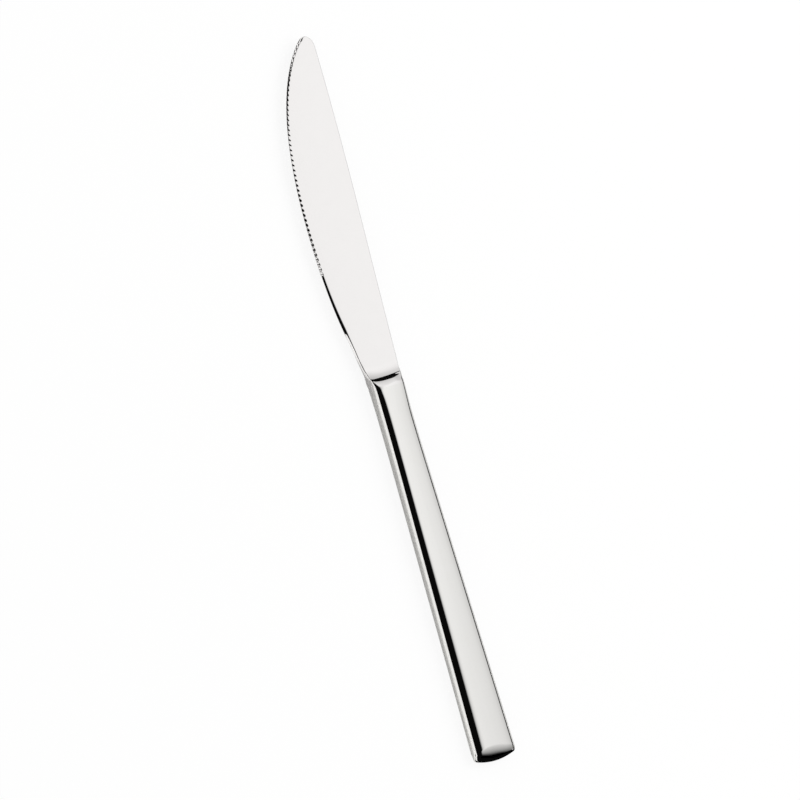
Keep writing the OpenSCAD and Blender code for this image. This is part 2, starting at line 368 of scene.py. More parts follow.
# %% Handle's face and its fall
CROWN = 0.04
EDGE_CROWN = 0.008  # extra crown per square millimetre, along the cutting side
CROWN_W = 5.0  # width of the strip that has it
FALL_L = 5.6  # where the fall begins, before the shoulder
FALL_R = 15.5
FALL_ARC_L = 5.1
FALL_SLOPE = 0.348  # slope past the arc
FALL_END_X = 2.0
FALL_LEAN = math.tan(math.radians(4.5))
FALL_CREASE = 0.2  # width of the soft line where the fall begins
CREST_CREASE = 0.06
NOWHERE = 99.0  # a height that never counts


def soft_min(a, b, width):
    """The lower of two heights, with the crease between them rounded."""
    return (a + b - np.sqrt((a - b) ** 2 + width ** 2)) / 2


def flat_z(x, y):
    """Height of the handle's nearly flat face."""
    beside = np.clip(CROWN_W - y - half_w(x), 0, None)
    crowned = half_t(x) - CROWN * (y / half_w(x)) ** 2
    return crowned - EDGE_CROWN * beside ** 2 * ramp(-x, 20, 90)


def fall_z(x, y):
    """Height of the face where it falls away to the shoulder."""
    run = np.clip(x + FALL_L, 0, None)
    on_arc = np.clip(run, 0, FALL_ARC_L)
    drop = FALL_R - np.sqrt(FALL_R ** 2 - on_arc ** 2) + (run - on_arc) * FALL_SLOPE
    fall = half_t(-FALL_L) + (y + half_w(-FALL_L)) * FALL_LEAN - drop
    return np.where(x < FALL_END_X, fall, NOWHERE)


def cap_z(x, y):
    """Front surface from butt to tip, before its long corners are rounded."""
    handle = soft_min(flat_z(x, y), fall_z(x, y), FALL_CREASE)
    return soft_min(handle, crest_z(x, y), CREST_CREASE)


print("height at the shoulder's middle in mm:", round(float(cap_z(0.0, 0.0)), 2))

# %% [markdown]
# ## The teeth
#
# A micro-serrated edge is ground by a small wheel that cuts slanting grooves into the front face
# alone. Cutting each groove with a boolean would leave ragged faces, so every groove is a height
# over the grid, and the lowest height counts. The grooves stand one pitch apart along the edge, and
# each takes its direction from the edge where it lies.

# %% Grooves between the teeth
TOOTH_PITCH = 1.57
WHEEL_R = 0.7
GROOVE_L = 0.5  # how far a groove runs in from the edge
GROOVE_T = 0.15  # thickness left at the edge
NOTCH = 0.12  # how far a groove bites into the outline
SLANT = 0.35  # how far a groove leans to the side, per millimetre that it runs in
SERRATION_X = 35.8  # where the teeth begin
GROOVE_REACH = 2.0  # nothing is cut farther in than this
LOOK_AHEAD = 0.2  # distance along the edge from which its direction is taken


def groove_feet():
    """Places on the edge one pitch apart, with the edge's direction at each."""
    along = np.concatenate([[0], np.cumsum(np.hypot(*np.diff(edge_line, axis=0).T))])
    first = np.interp(SERRATION_X, edge_line[:, 0], along)
    last = np.interp(tip_start[0], edge_line[:, 0], along)
    stops = np.arange(first, last, TOOTH_PITCH)
    places = np.column_stack([np.interp(stops, along, edge_line[:, k]) for k in (0, 1)])
    ahead = np.column_stack([np.interp(stops + LOOK_AHEAD, along, edge_line[:, k]) for k in (0, 1)])
    ways = ahead - places
    return places, ways / np.linalg.norm(ways, axis=1)[:, None]


feet, ways = groove_feet()


def groove_z(x, y):
    """Height of the lowest groove over each point."""
    lowest = np.full(np.shape(x), NOWHERE)
    for (px, py), (wx, wy) in zip(feet, ways):
        inward = -(x - px) * wy + (y - py) * wx
        along = (x - px) * wx + (y - py) * wy + SLANT * inward
        thick = 2 * face_z(px, py)
        slope = (thick - GROOVE_T) / GROOVE_L
        lift = WHEEL_R - np.sqrt(np.clip(WHEEL_R ** 2 - along ** 2, 0, None))
        z = GROOVE_T - thick / 2 + (inward - NOTCH) * slope + lift * math.hypot(1, slope)
        cut = (np.abs(along) < WHEEL_R) & (inward < GROOVE_REACH)
        lowest = np.where(cut, np.minimum(lowest, z), lowest)
    return lowest


print("grooves:", len(feet))

# %% [markdown]
# ## The bevel and the whole face
#
# The plain heel has a narrow bevel on both faces. Towards the shoulder it turns steep and becomes
# the narrow side of the handle. It is a slope that stands on the outline and cuts the face from
# above. Corners, bevel and grooves then give the face of the forging. A boolean with a wedge would
# do for a straight edge, but this edge is curved.

# %% Bevel and whole face of the forging
EDGE_HALF = 0.05  # half the thickness of the cutting edge
LEAST_T = 0.04  # thickness left where a groove cuts deepest
BOLSTER_L = 3.0  # the forging reaches this far behind the shoulder
BOLSTER_SEAT = 0.3  # length of the bolster that keeps the shells' section
SHOULDER_FOOT = 2.5  # height of the slope's foot at the shoulder
SHOULDER_SLOPE = 5.5  # the slope there, which eases twice along the heel
FIRST_EASE = 3.2
SECOND_EASE = 1.23
TOOTH_FOOT = 0.3  # how much higher the slope stands along the teeth, until near the tip
TOOTH_SLOPE = 0.8
HEEL_END_X = SERRATION_X - 0.4
CREASE = 0.1  # width of the soft line between face and bevel
SHOULDER_CREASE = 0.25  # how much wider it is at the shoulder
WIDEST_SHARE = 0.3  # no corner takes more than this share of the width


def bevel_z(x, y):
    """Height of the bevel's slope, first along the heel and then along the teeth."""
    heel_foot = EDGE_HALF + SHOULDER_FOOT * (1 - ramp(x, -1.1, 3.4))
    heel_slope = SHOULDER_SLOPE - FIRST_EASE * ramp(x, 2, 8) - SECOND_EASE * ramp(x, 7, 11)
    tooth_foot = EDGE_HALF + TOOTH_FOOT * (1 - ramp(x, 74, 10))
    foot = np.where(x < HEEL_END_X, heel_foot, tooth_foot)
    slope = np.where(x < HEEL_END_X, heel_slope, TOOTH_SLOPE)
    return foot + slope * (y - edge_y(x))


def side_z(x, y):
    """Height of either face with its corners and its bevel, without the teeth."""
    low, high = edge_y(x), spine_y(x)
    widest_r = WIDEST_SHARE * (high - low) + 0.01
    z = cap_z(x, y)
    z = z - corner(y - low, np.minimum(edge_radius(x), widest_r))
    z = z - corner(high - y, np.minimum(spine_radius(x), widest_r))
    crease = CREASE + SHOULDER_CREASE * (1 - ramp(x, 2, 6))
    z = np.where(x > BOLSTER_SEAT - BOLSTER_L, soft_min(z, bevel_z(x, y), crease), z)
    return np.maximum(z, EDGE_HALF)


def front_z(x, y):
    """Height of the front face with its teeth, kept just above the back face."""
    side = side_z(x, y)
    return np.maximum(np.minimum(side, groove_z(x, y)), LEAST_T - side)


print("height over a point of the heel in mm:", round(float(side_z(20.0, -6.0)), 2))

# %% [markdown]
# ## Grids become meshes
#
# A surface is a grid of points, one row per place along the knife. One function wraps a front grid
# and a back grid into a closed skin with walls between them, so that the blade and the shells are
# closed bodies. Faces are smooth below an angle, which keeps the ground edges crisp without extra
# rows.

# %% Functions that make meshes
SHARP_ANGLE = math.radians(35)


def grid_faces(rows, cols, first=0, flip=False):
    """Four-cornered faces of a grid whose points are numbered row by row."""
    start = first + np.arange(rows - 1)[:, None] * cols + np.arange(cols - 1)[None, :]
    faces = np.stack([start, start + 1, start + cols + 1, start + cols], axis=-1).reshape(-1, 4)
    return (faces[:, ::-1] if flip else faces).tolist()


def closed_skin(front, back, wall_rows=4):
    """Points and faces of a closed body between two grids of the same size."""
    rows, cols = front.shape[:2]
    points = [front.reshape(-1, 3), back.reshape(-1, 3)]
    faces = grid_faces(rows, cols) + grid_faces(rows, cols, rows * cols, True)
    count = 2 * rows * cols
    rims = [
        (front[:, 0], back[:, 0], False),
        (front[:, -1], back[:, -1], True),
        (front[0], back[0], True),
        (front[-1], back[-1], False),
    ]
    for top, bottom, flip in rims:
        shares = np.linspace(0, 1, wall_rows + 1)[:, None, None]
        wall = top[None] * (1 - shares) + bottom[None] * shares
        points.append(wall.reshape(-1, 3))
        faces += grid_faces(wall_rows + 1, len(top), count, flip)
        count += (wall_rows + 1) * len(top)
    return np.vstack(points), faces


def make_piece(name, points, faces):
    """A smooth object from drawing points in millimetres."""
    mesh = bpy.data.meshes.new(name)
    mesh.from_pydata(to_frame(points).tolist(), [], faces)
    mesh.validate()
    mesh.polygons.foreach_set("use_smooth", [True] * len(mesh.polygons))
    mesh.set_sharp_from_angle(angle=SHARP_ANGLE)
    piece = bpy.data.objects.new(name, mesh)
    bpy.context.scene.collection.objects.link(piece)
    return piece


print("faces of a grid of 3 by 4 points:", len(grid_faces(3, 4)))

# %% [markdown]
# ## Columns across the knife
#
# The grid's columns are crowded where the surface turns: in the two rounded corners of the handle,
# and close to the cutting edge on the blade. The columns slide from the one spacing to the other
# just behind the shoulder. Even columns would need many more points for the same corners.

# %% Columns across the knife
EDGE_BAND = 1.15  # width of the crowded columns along the blade's edge
SPINE_BAND = 0.4  # scale of the crowded columns along its spine
FULL_W = 4.0  # where the blade is narrower than this, all columns move closer
INNER_COLUMNS = 14
CROWDING = 1.25  # over 1: columns crowd towards the cutting edge
corner_turn = np.linspace(math.pi / 2, 0.12, 17)
past_corner = [0.94, 1.02, 1.12, 1.28, 1.5, 1.9]
corner_places = np.concatenate([1 - np.sin(corner_turn), past_corner])
edge_places = EDGE_BAND * np.linspace(0, 1, len(corner_places)) ** CROWDING


def columns(x):
    """Places across the knife at each x."""
    x = np.asarray(x, float)[:, None]
    low, high = edge_y(x), spine_y(x)
    fit = np.minimum(1, (high - low) / FULL_W)
    on_blade = ramp(x, -2.9, 1.8)
    near = (EDGE_R * corner_places * (1 - on_blade) + edge_places * on_blade) * fit
    far = (SPINE_R * (1 - on_blade) + SPINE_BAND * on_blade) * corner_places * fit
    inner_low, inner_high = low + near[:, -1:], high - far[:, -1:]
    inner = inner_low + (inner_high - inner_low) * np.linspace(0, 1, INNER_COLUMNS + 2)[None, 1:-1]
    return np.hstack([low + near, inner, (high - far)[:, ::-1]])


print("columns across:", columns([0]).shape[1])

# %% [markdown]
# ## The tang
#
# Inside the handle the forging goes on as a spigot that fills the shells' mouth, and then as a thin
# tang that the cement grips. Nobody sees them on a whole knife, so a plain rod with nearly
# rectangular sections is enough. The power in its formula makes a circle nearly square.

# %% Spigot and tang
WALL = 0.8  # thickness of the shells' sheet
PLAY = 0.1  # gap between the spigot and the shells
SPIGOT_L = 4.0
TANG_L = 62.0
TANG_W = 5.4
TANG_END_W = 3.2
TANG_T = 2.6
TANG_POINT_L = 1.6  # length of the tang's blunt point


def rod(sections, turns=24, power=5):
    """A closed rod along x through sections of (x, half width, half height)."""
    a = np.linspace(0, 2 * math.pi, turns, endpoint=False)
    c = np.sign(np.cos(a)) * np.abs(np.cos(a)) ** (2 / power)
    s = np.sign(np.sin(a)) * np.abs(np.sin(a)) ** (2 / power)
    rings = np.array([np.column_stack([np.full(turns, x), w * c, h * s]) for x, w, h in sections])
    skin = []
    for k in range(len(sections) - 1):
        for j in range(turns):
            n = (j + 1) % turns
            skin.append([k * turns + j, k * turns + n, (k + 1) * turns + n, (k + 1) * turns + j])
    skin.append(list(range(turns))[::-1])
    skin.append([(len(sections) - 1) * turns + j for j in range(turns)])
    return rings.reshape(-1, 3), skin


spigot_end = -BOLSTER_L - SPIGOT_L
tang_end = spigot_end - TANG_L
spigot_w = float(half_w(-BOLSTER_L)) - WALL - PLAY
spigot_t = half_t(spigot_end) - WALL - PLAY
tang_points, tang_faces = rod([
    (0.4 - BOLSTER_L, spigot_w, spigot_t),
    (spigot_end, spigot_w, spigot_t),
    (spigot_end - 0.01, TANG_W / 2, TANG_T / 2),
    (tang_end, TANG_END_W / 2, TANG_T / 2),
    (tang_end - 0.75 * TANG_POINT_L, TANG_END_W / 3, TANG_T / 2),
    (tang_end - TANG_POINT_L, TANG_END_W / 8, TANG_T / 2),
])
print("the tang ends at x =", round(tang_end - TANG_POINT_L, 1), "mm")

# %% [markdown]
# ## The forging
#
# Rows are close at the shoulder, where the surface turns fast, and along the teeth, where each
# groove needs about twenty rows. On the plain heel they are far apart. Blade, shoulder, bolster and
# tang are one forging on the real knife, so they are one object here.

# %% Blade with its shoulder and bolster
SEAT_ROW = 0.004  # a row close to the end keeps the seat's rim crisp
CREST_ROW = 0.05  # distances between rows
FILLET_ROW = 0.12
HEEL_ROW = 0.4
TOOTH_ROW = 0.08
CREST_END = 1.2
FILLET_END = 5.2
TOOTH_ROWS_X = SERRATION_X - 1.5
TIP_ROWS_L = 1.2
tip_turns = np.linspace(1.05, 1.49, 30)  # radians round the tip
rows_x = np.concatenate([
    [-BOLSTER_L, -BOLSTER_L + SEAT_ROW],
    np.arange(-BOLSTER_L + FILLET_ROW, -CREST_END, FILLET_ROW),
    np.arange(-CREST_END, CREST_END, CREST_ROW),
    np.arange(CREST_END, FILLET_END, FILLET_ROW),
    np.arange(FILLET_END, TOOTH_ROWS_X, HEEL_ROW),
    np.arange(TOOTH_ROWS_X, BLADE_L - TIP_ROWS_L, TOOTH_ROW),
    BLADE_L - TIP_R * (1 - np.sin(tip_turns)),
])
rows_x = np.unique(np.round(rows_x, 6))
places_y = columns(rows_x)
places_x = np.repeat(rows_x[:, None], places_y.shape[1], axis=1)
front = np.stack([places_x, places_y, front_z(places_x, places_y)], axis=-1)
back = np.stack([places_x, places_y, -side_z(places_x, places_y)], axis=-1)
points, faces = closed_skin(front, back)
faces += [[number + len(points) for number in face] for face in tang_faces]
blade = make_piece("blade_forging", np.vstack([points, tang_points]), faces)
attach(blade, "root")
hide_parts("blade")
print("blade rows:", len(rows_x), "faces:", len(blade.data.polygons))

# %% [markdown]
# ## The nose of the butt
#
# The butt's outline is a flat arch with two small corners. Seen from the side, each face rolls down
# in two arcs that touch: a large one, then a small one at the very end. The roll starts a little
# later on the spine's side, as the real one does. A bevel modifier would roll all sides alike.

# %% Outline and side view of the butt
BUTT_ARC_R = 19.0
BUTT_CORNER_R = 1.2
NOSE_R = 1.6
LATE = 0.03  # how much later the roll starts, per square millimetre past the next value
LATE_FROM_Y = -1.5
LATE_END_L = 1.2  # length before the butt's end over which the delay is given up
NOSE_H = half_t(-STRAIGHT_L)
ROLL_R = (NOSE_L ** 2 + NOSE_H ** 2 - 2 * NOSE_L * NOSE_R) / (2 * (NOSE_H - NOSE_R))
TOUCH_L = (NOSE_L - NOSE_R) * ROLL_R / (ROLL_R - NOSE_R)
ARCH_X = BUTT_ARC_R - HANDLE_L
CORNER_Y = float(half_w(-HANDLE_L)) - BUTT_CORNER_R
CORNER_X = ARCH_X - math.sqrt((BUTT_ARC_R - BUTT_CORNER_R) ** 2 - CORNER_Y ** 2)
CORNER_FROM_Y = CORNER_Y * BUTT_ARC_R / (BUTT_ARC_R - BUTT_CORNER_R)


def nose_z(x, y):
    """Height of the face where it rolls down at the butt."""
    late = LATE * np.clip(y - LATE_FROM_Y, 0, None) ** 2 * np.clip((x + HANDLE_L) / LATE_END_L, 0, 1)
    run = np.clip(-STRAIGHT_L - x - late, 0, NOSE_L)
    large = NOSE_H - ROLL_R + np.sqrt(ROLL_R ** 2 - run ** 2)
    small = np.sqrt(np.clip(NOSE_R ** 2 - (run - NOSE_L + NOSE_R) ** 2, 0, None))
    return np.where(run <= 0, NOWHERE, np.where(run < TOUCH_L, large, small))


def end_x(y):
    """Where the butt's outline lies at y."""
    arch = ARCH_X - np.sqrt(BUTT_ARC_R ** 2 - y ** 2)
    out = np.clip(np.abs(y) - CORNER_Y, 0, BUTT_CORNER_R)
    small_round = CORNER_X - np.sqrt(np.clip(BUTT_CORNER_R ** 2 - out ** 2, 0, None))
    return np.where(np.abs(y) > CORNER_FROM_Y, small_round, arch)


print("the large arc of the nose in mm:", round(ROLL_R, 2))

# %% [markdown]
# ## The skin of a shell
#
# A shell is pressed from sheet. Its outside is a grid over the handle's outline, and near the butt
# the rows bend into the arched outline. Its rim is a short straight flank down to the seam. One
# grid serves both shells, because the back one is the mirror image. A subdivided box would be
# quicker, but it would round the long corners wherever its loops happen to lie.

# %% Grid of a shell's outside
SEAM_T = 0.1
RIM_H = 0.02  # the flank's least height over the seam
RIM_SHARES = (0, 0.35, 0.7)  # heights of the flank's points
FACE_SHARE = 0.93  # share of the face's height that a corner may take
END_GAP = 0.002  # the last row stops just short of the butt's end
NECK_ROW = 0.2
NECK_ROWS_X = -13
touch_turn = math.asin(TOUCH_L / ROLL_R)
large_turns = np.linspace(0, touch_turn, 26)
small_turns = np.linspace(touch_turn, math.pi / 2, 26)
handle_x = np.concatenate([
    [-BOLSTER_L, -BOLSTER_L - SEAT_ROW],
    np.arange(-BOLSTER_L - NECK_ROW, NECK_ROWS_X, -NECK_ROW),
    np.linspace(NECK_ROWS_X, -STRAIGHT_L, 60)[1:],
    -STRAIGHT_L - ROLL_R * np.sin(large_turns)[1:],
    -HANDLE_L + NOSE_R * (1 - np.sin(small_turns))[1:],
])


def on_seam(points):
    """The points themselves, moved down to the upper face of the seam."""
    return points * [1, 1, 0] + [0, 0, SEAM_T / 2]


def shell_grid():
    """Points of the front shell's outside, from the seam over the face to the seam again."""
    y = columns(handle_x)
    x = np.repeat(handle_x[:, None], y.shape[1], axis=1)
    share = np.clip((-STRAIGHT_L - x) / NOSE_L, 0, 1)
    bent = np.maximum(x + share * (end_x(y) + HANDLE_L), END_GAP - HANDLE_L)
    y = y * half_w(bent) / half_w(x)
    w = half_w(bent)
    face = np.minimum(cap_z(bent, y), nose_z(x, y))
    widest_r = FACE_SHARE * face / corner_drop[0] + 0.001
    z = face - corner(y + w, np.minimum(edge_radius(bent), widest_r))
    z = z - corner(w - y, np.minimum(spine_radius(bent), widest_r))
    grid = np.stack([bent, y, np.maximum(z, SEAM_T / 2 + RIM_H)], axis=-1)
    low, high = on_seam(grid[:, 0]), on_seam(grid[:, -1])
    left = np.stack([low + (grid[:, 0] - low) * s for s in RIM_SHARES], axis=1)
    right = np.stack([high + (grid[:, -1] - high) * s for s in RIM_SHARES[::-1]], axis=1)
    grid = np.concatenate([left, grid, right], axis=1)
    return np.concatenate([grid, on_seam(grid[-1:])])


outside = shell_grid()[::-1]
print("points of a shell's outside:", outside.shape[0] * outside.shape[1])

# %% [markdown]
# ## The two shells
#
# The real shells are hollow, with a wall as thick as the sheet. A solidify modifier could fold the
# thin rim at the butt, so the lining is written out: the same grid, moved in by the wall. Outside
# and lining are closed into one hollow skin.

# %% Front shell and back shell
LINING_HALF = 6.2  # about half the handle's width, from which the lining is narrowed
LINING_SHRINK = 1 - WALL / LINING_HALF


def moved_in(grid):
    """How far each point is moved in from the butt: by the wall at the end, and not at all before."""
    return WALL * np.clip((-STRAIGHT_L - grid[..., 0]) / NOSE_L, 0, 1)


lining = outside * [1, LINING_SHRINK, 1]
lining[..., 0] += moved_in(outside)
lining[..., 2] = np.maximum(outside[..., 2] - WALL, SEAM_T / 2)
shells = []
for name, node, side in (("shell_front", "front_shell", 1), ("shell_back", "back_shell", -1)):
    skins = [outside * [1, 1, side], lining * [1, 1, side]]
    points, faces = closed_skin(*skins[::side], wall_rows=1)
    piece = make_piece(name, points, faces)
    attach(piece, "root")
    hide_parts(node)
    shells.append(piece)
print("shell faces:", [len(s.data.polygons) for s in shells])

# %% [markdown]
# ## The brazed seam
#
# Silver braze fills the tenth of a millimetre between the shells' rims. It is a thin band that runs
# along one narrow side, round the butt and back along the other, flush with the steel. It follows
# the rims of the shells' own grid, so no gap can open between them.

# %% Band of the seam
SEAM_HALF = 6.0  # about half the handle's width, from which the band's inner side is narrowed
SEAM_SHRINK = 1 - WALL / SEAM_HALF
rim = np.vstack([outside[::-1, 0], outside[0, 1:-1], outside[:, -1]]) * [1, 1, 0]
inner_rim = rim * [1, SEAM_SHRINK, 1]
inner_rim[:, 0] += moved_in(rim)
rise = np.array([0, 0, SEAM_T / 2])
rails = np.stack([rim + rise, rim - rise, inner_rim - rise, inner_rim + rise, rim + rise])
seam = make_piece("seam_band", rails.reshape(-1, 3), grid_faces(5, len(rim)))
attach(seam, "root")
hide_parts("seam_braze")
print("seam faces:", len(seam.data.polygons))

# %% [markdown]
# ## Colours and nodes
#
# Colours are written as they look on a screen and turned to linear values by one function. Texture
# scales are worked out from real sizes: object coordinates are metres, so the scale is one over the
# feature's size in metres. One function adds a node of any kind, with its settings and links.

# %% Functions for materials
def linear(code):
    """A colour written as #RRGGBB becomes a linear colour with alpha."""
    parts = [int(code[k:k + 2], 16) / 255 for k in (1, 3, 5)]
    return [p / 12.92 if p <= 0.04045 else ((p + 0.055) / 1.055) ** 2.4 for p in parts] + [1]


def per_metre(size_mm):
    """Texture scale for features of this size in millimetres."""
    return 1 / (size_mm * MM)


def add(tree, kind, links=None, values=None, **settings):
    """Adds a node with its settings, gives its inputs values, and links them from other outputs."""
    node = tree.nodes.new(kind)
    for key, value in settings.items():
        setattr(node, key, value)
    for key, value in (values or {}).items():
        node.inputs[key].default_value = value
    for key, source in (links or {}).items():
        tree.links.new(source, node.inputs[key])
    return node


def new_material(name):
    """A material with an empty node tree and its output."""
    material = bpy.data.materials.new(name)
    material.use_nodes = True
    material.node_tree.nodes.clear()
    return material, material.node_tree, add(material.node_tree, "ShaderNodeOutputMaterial")


print("mid grey:", [round(c, 3) for c in linear("#808080")[:3]])

# %% [markdown]
# ## Mirror-polished stainless steel
#
# Stainless steel, ground and then buffed with a fine compound until it mirrors. The colour is
# nearly neutral and the roughness very low, and the eye finds the metal in three faint things.
# Buffing lines run along the knife. They are about a hundredth of a millimetre apart on a real one,
# and are drawn some ten times coarser, so that they can show at all. A slow waviness of about two
# centimetres bends reflections a little, as on anything buffed by hand. The gloss dulls slightly in
# patches of about four millimetres, where it has been handled.

# %% Steel of the blade and the handle
BLADE_LINE_MM = 1 / 9  # nine lines to a millimetre
HANDLE_LINE_MM = 1 / 7
LINE_STRETCH = 40  # how much longer than wide a line is
LINE_DEPTH_MM = 0.002
WAVE_MM = 200 / 11  # about 18 mm
WAVE_DEPTH_MM = 0.02
HAZE_MM = 25 / 6  # about 4 mm
STEEL_GLOSS = 0.035  # roughness of the glossiest patches
STEEL_WAVE = 0.25  # how strongly the waviness bends reflections
DULLER = 1.6  # roughness of the dullest patches over the glossiest


def buffed_normal(tree, place, line_mm, wave):
    """Normal of buffed metal: fine lines along the knife over a slow waviness."""
    fine_scale = per_metre(line_mm)
    drawn = add(
        tree, "ShaderNodeMapping", {"Vector": place},
        {"Scale": (fine_scale / LINE_STRETCH, fine_scale, fine_scale)})
    lines = add(
        tree, "ShaderNodeTexNoise", {"Vector": drawn.outputs[0]},
        {"Scale": 1.0, "Detail": 6.0, "Roughness": 0.6})
    waves = add(
        tree, "ShaderNodeTexNoise", {"Vector": place},
        {"Scale": per_metre(WAVE_MM), "Detail": 1.5, "Roughness": 0.4})
    line_bump = add(
        tree, "ShaderNodeBump", {"Height": lines.outputs["Fac"]},
        {"Strength": 0.12, "Distance": LINE_DEPTH_MM * MM})
    wave_bump = add(
        tree, "ShaderNodeBump", {"Height": waves.outputs["Fac"], "Normal": line_bump.outputs[0]},
        {"Strength": wave, "Distance": WAVE_DEPTH_MM * MM})
    return wave_bump.outputs[0]


def polished_metal(name, tone, other_tone, gloss, line_mm, wave):
    """Buffed metal between two close tones, with hazy patches in its gloss."""
    material, tree, out = new_material(name)
    place = add(tree, "ShaderNodeTexCoord").outputs["Object"]
    haze = add(
        tree, "ShaderNodeTexNoise", {"Vector": place},
        {"Scale": per_metre(HAZE_MM), "Detail": 4.0, "Roughness": 0.55}).outputs["Fac"]
    colour = add(
        tree, "ShaderNodeMix", {"Factor": haze}, {6: linear(tone), 7: linear(other_tone)},
        data_type="RGBA")
    rough = add(
        tree, "ShaderNodeMapRange", {"Value": haze},
        {"From Min": 0.3, "From Max": 0.7, "To Min": gloss, "To Max": gloss * DULLER})
    metal = add(tree, "ShaderNodeBsdfPrincipled", {
        "Base Color": colour.outputs[2],
        "Roughness": rough.outputs[0],
        "Normal": buffed_normal(tree, place, line_mm, wave),
    }, {"Metallic": 1.0})
    tree.links.new(metal.outputs[0], out.inputs[0])
    return material


blade_steel = polished_metal(
    "stainless_steel_mirror_buffed_blade", "#F3F1F0", "#F1EFEE",
    STEEL_GLOSS, BLADE_LINE_MM, STEEL_WAVE)
handle_steel = polished_metal(
    "stainless_steel_mirror_buffed_handle", "#F0EFED", "#EEEDEA",
    STEEL_GLOSS, HANDLE_LINE_MM, STEEL_WAVE)
print("steel materials:", blade_steel.name, handle_steel.name)

# %% [markdown]
# ## Braze and cement
#
# Silver braze is polished flush with the steel and looks a shade warmer. The cement that holds the
# tang is poured in and sets matt, pale brown and slightly grainy, with darker specks about a
# millimetre apart. It would show only if the handle were opened.

# %% Materials of the seam and the cement
GRAIN_MM = 5 / 9  # a little over half a millimetre
SPECK_MM = 10 / 9
GRAIN_DEPTH_MM = 0.05
BRAZE_GLOSS = 0.05
BRAZE_WAVE = 0.2


def set_cement():
    """Set resin cement: matt and grainy, with small darker specks."""
    material, tree, out = new_material("resin_cement_cast_and_set")
    place = add(tree, "ShaderNodeTexCoord").outputs["Object"]
    grain = add(
        tree, "ShaderNodeTexNoise", {"Vector": place},
        {"Scale": per_metre(GRAIN_MM), "Detail": 8.0, "Roughness": 0.6})
    specks = add(tree, "ShaderNodeTexVoronoi", {"Vector": place}, {"Scale": per_metre(SPECK_MM)})
    pale = add(
        tree, "ShaderNodeMapRange", {"Value": specks.outputs["Distance"]},
        {"From Min": 0.05, "From Max": 0.3})
    colour = add(
        tree, "ShaderNodeMix", {"Factor": pale.outputs[0]}, {6: linear("#8A8173"), 7: linear("#A89E8D")},
        data_type="RGBA")
    bump = add(
        tree, "ShaderNodeBump", {"Height": grain.outputs["Fac"]},
        {"Strength": 0.5, "Distance": GRAIN_DEPTH_MM * MM})
    body = add(
        tree, "ShaderNodeBsdfPrincipled", {"Base Color": colour.outputs[2], "Normal": bump.outputs[0]},
        {"Roughness": 0.85})
    tree.links.new(body.outputs[0], out.inputs[0])
    return material


braze = polished_metal(
    "silver_braze_polished_flush", "#EDEBE6", "#E9E6DF",
    BRAZE_GLOSS, HANDLE_LINE_MM, BRAZE_WAVE)
cement = set_cement()
print("seam and cement materials:", braze.name, cement.name)

# %% [markdown]
# ## Dressing the pieces
#
# The drawn pieces get their metals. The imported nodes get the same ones, so that every node has its
# finish. The cement has no drawn piece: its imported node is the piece.

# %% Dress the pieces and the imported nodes
blade.data.materials.append(blade_steel)
for piece in shells:
    piece.data.materials.append(handle_steel)
seam.data.materials.append(braze)
node_materials = {
    "blade": blade_steel,
    "front_shell": handle_steel,
    "back_shell": handle_steel,
    "seam_braze": braze,
    "handle_cement": cement,
}
for node, material in node_materials.items():
    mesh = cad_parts[node].data
    mesh.materials.clear()
    mesh.materials.append(material)
print("dressed nodes:", len(node_materials))

# %% [markdown]
# ## Round the knife
#
# Polished metal looks like its surroundings. Directions are given by two angles: across the knife,
# from straight up towards the cutting side, and along it, towards the tip. A window or a card is a
# patch of a large sphere between such angles, in degrees, so it can be placed by what a tilted face
# looks at. Flat panels would do as well, but each would have to be aimed. Reflections alone see the
# patches.

# %% Patches round the knife
STUDIO_R = 1.1  # metres, as everything in the studio
studio_centre = Vector((0.053, 0, 0))  # about the middle of the knife


def stage_card(name, mesh):
    """An object of the studio that only reflections see."""
    piece = bpy.data.objects.new(name, mesh)
    piece.visible_camera = False
    piece.visible_diffuse = False
    piece.visible_shadow = False
    piece.visible_transmission = False
    bpy.context.scene.collection.objects.link(piece)
    return piece


def patch(name, across, along, rows=24, cols=32):
    """A part of the studio's sphere between angles across and along the knife."""
    e = np.radians(np.linspace(*across, rows))[:, None]
    a = np.radians(np.linspace(*along, cols))[None, :]
    x = STUDIO_R * np.sin(a) * np.ones_like(e)
    y = STUDIO_R * np.cos(a) * np.sin(e)
    z = STUDIO_R * np.cos(a) * np.cos(e)
    mesh = bpy.data.meshes.new(name)
    mesh.from_pydata(np.stack([x, y, z], axis=-1).reshape(-1, 3).tolist(), [], grid_faces(rows, cols))
    piece = stage_card(name, mesh)
    piece.location = studio_centre
    return piece


print("radius of the studio in m:", STUDIO_R)

# %% [markdown]
# ## The window
#
# The flat faces look into one large bright window on the spine's side. Its fabric is lit unevenly,
# as a real one is: fullest about where the flats look into it, and weaker towards its ends, which
# gives the handle its slow change of tone. Two curves hold that, one across the knife and one along
# it, and they are multiplied. An even window would leave the flats without that change.

# %% Window
WINDOW_ACROSS = (-66, -13)
WINDOW_ALONG = (-60, 46.7)
WINDOW_LEVEL = 1.05
LIGHT_ACROSS = [
    (0, 0.4), (0.1, 0.66), (0.3, 0.71), (0.5, 0.76), (0.62, 0.81), (0.7, 0.87), (0.755, 0.92),
    (0.8, 0.945), (0.86, 0.95), (0.9, 0.84), (0.95, 0.5), (1, 0),
]
LIGHT_ALONG = [
    (0, 0), (0.1, 0), (0.15, 0.19), (0.21, 0.43), (0.28, 0.6), (0.36, 0.77), (0.42, 0.9), (0.5, 0.98),
    (0.6, 0.99), (0.72, 0.89), (0.84, 0.74), (1, 0.7),
]


